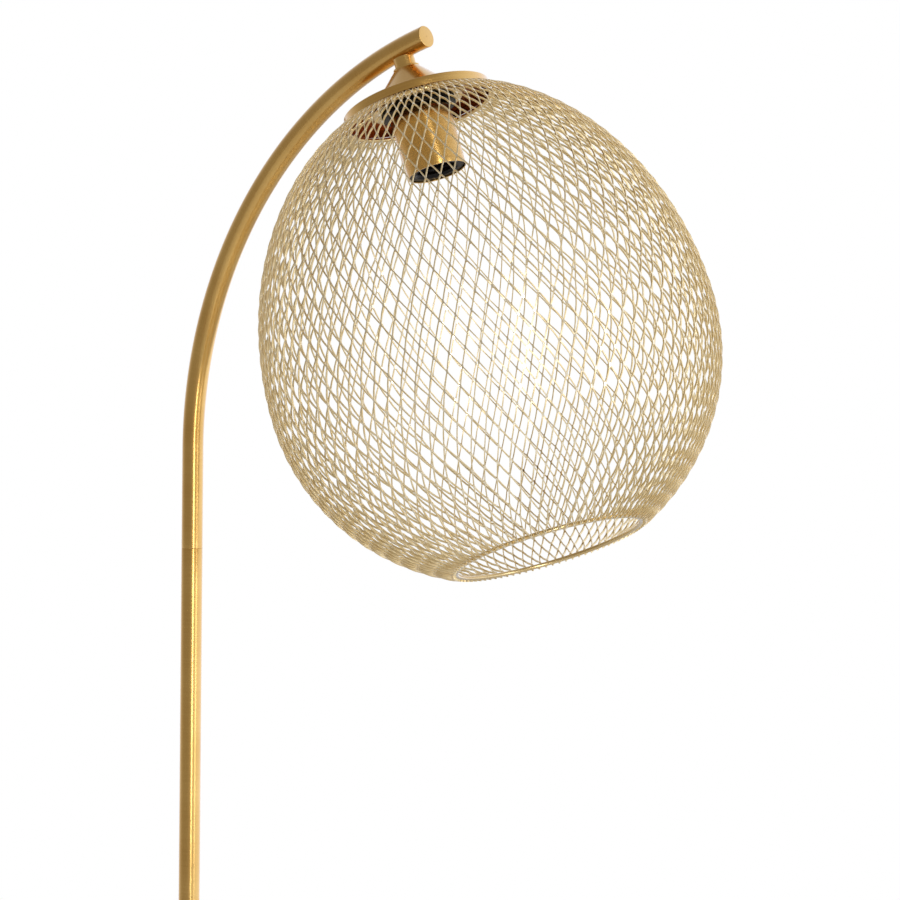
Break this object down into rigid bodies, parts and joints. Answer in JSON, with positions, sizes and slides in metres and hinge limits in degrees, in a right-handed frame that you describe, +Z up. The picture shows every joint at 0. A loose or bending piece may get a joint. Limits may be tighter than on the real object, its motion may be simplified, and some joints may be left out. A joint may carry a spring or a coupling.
{
  "type": "wire cage floor lamp",
  "caption": "Arched floor lamp in brushed brass: weighted disc base, sectional pole and bent arm carrying a tilted expanded-mesh globe shade over a screw lampholder.",
  "frame": {"origin": "centre of the underside of the base pad, on the pole axis, at floor level", "axes": "+Z up along the pole, +X towards the side that the arm reaches to, +Y to the left of the arm"},
  "size_m": [0.552, 0.2996, 1.515],
  "materials": {
    "brass_tube": "brushed brass-plated steel tube, satin",
    "brass_spun": "spun and brushed brass-plated steel, satin",
    "brass_mesh": "expanded steel sheet with a pale brass finish",
    "brass_bare": "bare brass contact metal",
    "zinc_steel": "zinc-plated steel thread",
    "phenolic": "black moulded phenolic",
    "iron": "painted cast iron",
    "rubber_sheet": "black sheet rubber",
    "nylon": "black nylon"
  },
  "bodies": {
    "lamp": {"base_pad": "rubber_sheet", "base_weight": "iron", "base_cover": "brass_spun", "inlet_bush": "nylon", "base_washer": "zinc_steel", "base_nut": "zinc_steel", "base_stud": "zinc_steel", "foot_collar": "brass_spun", "pole_lower": "brass_tube", "pole_middle": "brass_tube", "pole_upper": "brass_tube", "tube_inserts": "zinc_steel", "joint_rods": "zinc_steel", "arm_tube": "brass_tube", "arm_end_cap": "brass_spun", "neck": "brass_spun", "shade_cap": "brass_spun", "neck_rod": "zinc_steel", "cap_nut": "zinc_steel", "holder_neck": "phenolic", "clamp_ring_upper": "phenolic", "clamp_ring_lower": "phenolic", "lamp_cup": "brass_spun", "holder_base": "phenolic", "terminal_screws": "brass_bare", "holder_body": "phenolic", "screw_shell": "brass_bare", "contact_spring": "zinc_steel", "shade_spider": "brass_mesh", "shade_bottom_ring": "brass_mesh", "shade_mesh": "brass_mesh"},
    "contact": {"centre_contact": "brass_bare"}
  },
  "joints": [
    {"name": "contact_press", "type": "slide", "parent": "lamp", "child": "contact", "axis": [-0.3665, 0, 0.9304], "range_m": [0, 0.0015], "stiffness_N_per_m": 800, "springref_m": -0.001, "deforming": ["contact_spring"]}
  ]
}
